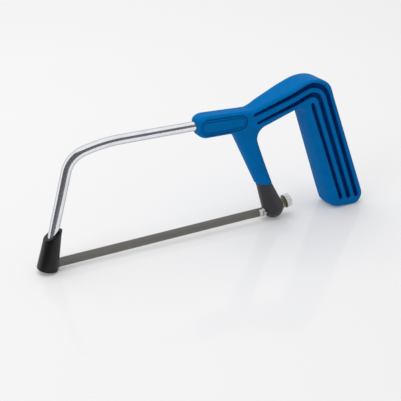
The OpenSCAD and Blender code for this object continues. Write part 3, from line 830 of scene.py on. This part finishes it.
def buildFloor():
    deselectAll()
    bpy.ops.mesh.primitive_plane_add(size=studio["floor"])
    floor = bpy.context.object
    floor.name = "floor"
    # the floor glows a little: painted light that lifts the shadows on it and lights the undersides from below
    material, tree, shader = plainMaterial("floorWhite", {
        "Base Color": studio["floorColour"], "Roughness": studio["floorRoughness"],
        "Specular IOR Level": studio["floorSpecular"], "Emission Color": studio["glowColour"],
        "Emission Strength": studio["floorGlow"]})
    floor.data.materials.append(material)


# the floor looks through the screen: a ray starts at its end and its length back
def screenMaterial():
    material, tree, shader = plainMaterial("screenBlack", {
        "Base Color": studio["screenColour"], "Roughness": 1.0, "Specular IOR Level": 0.0})
    hit = tree.nodes.new("ShaderNodeNewGeometry")
    back = tree.nodes.new("ShaderNodeVectorMath")
    back.operation = "SCALE"
    tree.links.new(hit.outputs["Incoming"], back.inputs[0])
    tree.links.new(tree.nodes.new("ShaderNodeLightPath").outputs["Ray Length"], back.inputs["Scale"])
    start = tree.nodes.new("ShaderNodeVectorMath")
    tree.links.new(hit.outputs["Position"], start.inputs[0])
    tree.links.new(back.outputs["Vector"], start.inputs[1])
    height = tree.nodes.new("ShaderNodeSeparateXYZ")
    tree.links.new(start.outputs["Vector"], height.inputs["Vector"])
    clear = tree.nodes.new("ShaderNodeBsdfTransparent")
    mix = tree.nodes.new("ShaderNodeMixShader")
    tree.links.new(addMath(tree, "GREATER_THAN", height.outputs["Z"], studio["fromFloor"]), mix.inputs["Fac"])
    tree.links.new(clear.outputs["BSDF"], mix.inputs[1])
    tree.links.new(shader.outputs["BSDF"], mix.inputs[2])
    tree.links.new(mix.outputs["Shader"], tree.nodes["Material Output"].inputs["Surface"])
    return material


# keeps what lies behind each plane of the piece in hand
def trim(*planes):
    for place, way in planes:
        bpy.ops.mesh.select_all(action="SELECT")
        bpy.ops.mesh.bisect(plane_co=place, plane_no=way, clear_outer=True)


# dark side of the room, an upright half ring with an apron on the floor, which only bright surfaces mirror
def buildScreen():
    s = studio
    deselectAll()
    bpy.ops.mesh.primitive_cylinder_add(vertices=s["screenCorners"], radius=s["screenR"], depth=s["screenH"],
                                        end_fill_type="NOTHING", location=(0, 0, s["screenH"] / 2 + s["screenLift"]))
    screen = bpy.context.object
    screen.name = "darkScreen"
    bpy.ops.object.mode_set(mode="EDIT")
    trim(((0, 0, 0), (0, 1, 0)), ((s["riseFrom"], 0, s["screenLift"]), (s["screenRise"], 0, -1)))
    bpy.ops.object.mode_set(mode="OBJECT")
    deselectAll()
    bpy.ops.mesh.primitive_circle_add(vertices=s["screenCorners"], radius=s["screenR"],
                                      location=(0, 0, s["screenLift"]))
    apron = bpy.context.object
    bpy.ops.object.mode_set(mode="EDIT")
    bpy.ops.mesh.select_all(action="SELECT")
    bpy.ops.mesh.extrude_region_move()
    bpy.ops.transform.resize(value=(s["apron"], s["apron"], 1), center_override=(0, 0, 0))
    trim(((0, 0, 0), (0, 1, 0)), ((s["apronTo"], 0, 0), (1, 0, 0)))
    bpy.ops.object.mode_set(mode="OBJECT")
    makeActive(screen)
    apron.select_set(True)
    bpy.ops.object.join()
    screen.data.materials.append(screenMaterial())
    screen.visible_camera = screen.visible_diffuse = screen.visible_transmission = screen.visible_shadow = False


# soft light from the sky, and a white backdrop for what is seen or mirrored
def buildWorld():
    world = bpy.data.worlds.new("studio")
    bpy.context.scene.world = world
    world.use_nodes = True
    tree = world.node_tree
    tree.nodes.clear()
    sky = tree.nodes.new("ShaderNodeBackground")
    sky.inputs["Color"].default_value = studio["sky"]
    sky.inputs["Strength"].default_value = studio["skyStrength"]
    seen = tree.nodes.new("ShaderNodeBackground")
    seen.inputs["Color"].default_value = studio["backdrop"]
    path = tree.nodes.new("ShaderNodeLightPath")
    direct = addMath(tree, "ADD", path.outputs["Is Camera Ray"], path.outputs["Is Glossy Ray"])
    direct = addMath(tree, "ADD", direct, path.outputs["Is Transmission Ray"])
    mix = tree.nodes.new("ShaderNodeMixShader")
    output = tree.nodes.new("ShaderNodeOutputWorld")
    tree.links.new(direct, mix.inputs["Fac"])
    tree.links.new(sky.outputs["Background"], mix.inputs[1])
    tree.links.new(seen.outputs["Background"], mix.inputs[2])
    tree.links.new(mix.outputs["Shader"], output.inputs["Surface"])


def buildLamp(name, lamp):
    deselectAll()
    bpy.ops.object.light_add(type="AREA", location=lamp["at"])
    light = bpy.context.object
    light.name = name
    light.data.shape = "DISK"
    light.data.size = lamp["size"]
    light.data.energy = lamp["power"]
    light.visible_glossy = False
    lookAt(light, lamp["aim"])


def buildCamera():
    deselectAll()
    bpy.ops.object.camera_add(location=studio["cameraAt"])
    camera = bpy.context.object
    camera.name = "photoCamera"
    camera.data.lens = studio["lens"]
    camera.data.sensor_width = studio["sensor"]
    camera.data.clip_start = studio["nearest"]
    lookAt(camera, studio["cameraAim"])
    bpy.context.scene.camera = camera
    bpy.context.scene.view_settings.view_transform = "Standard"


buildFloor()
buildScreen()
buildWorld()
for name, lamp in studio["lamps"].items():
    buildLamp(name, lamp)
buildCamera()
print("floor, lamps and camera set")
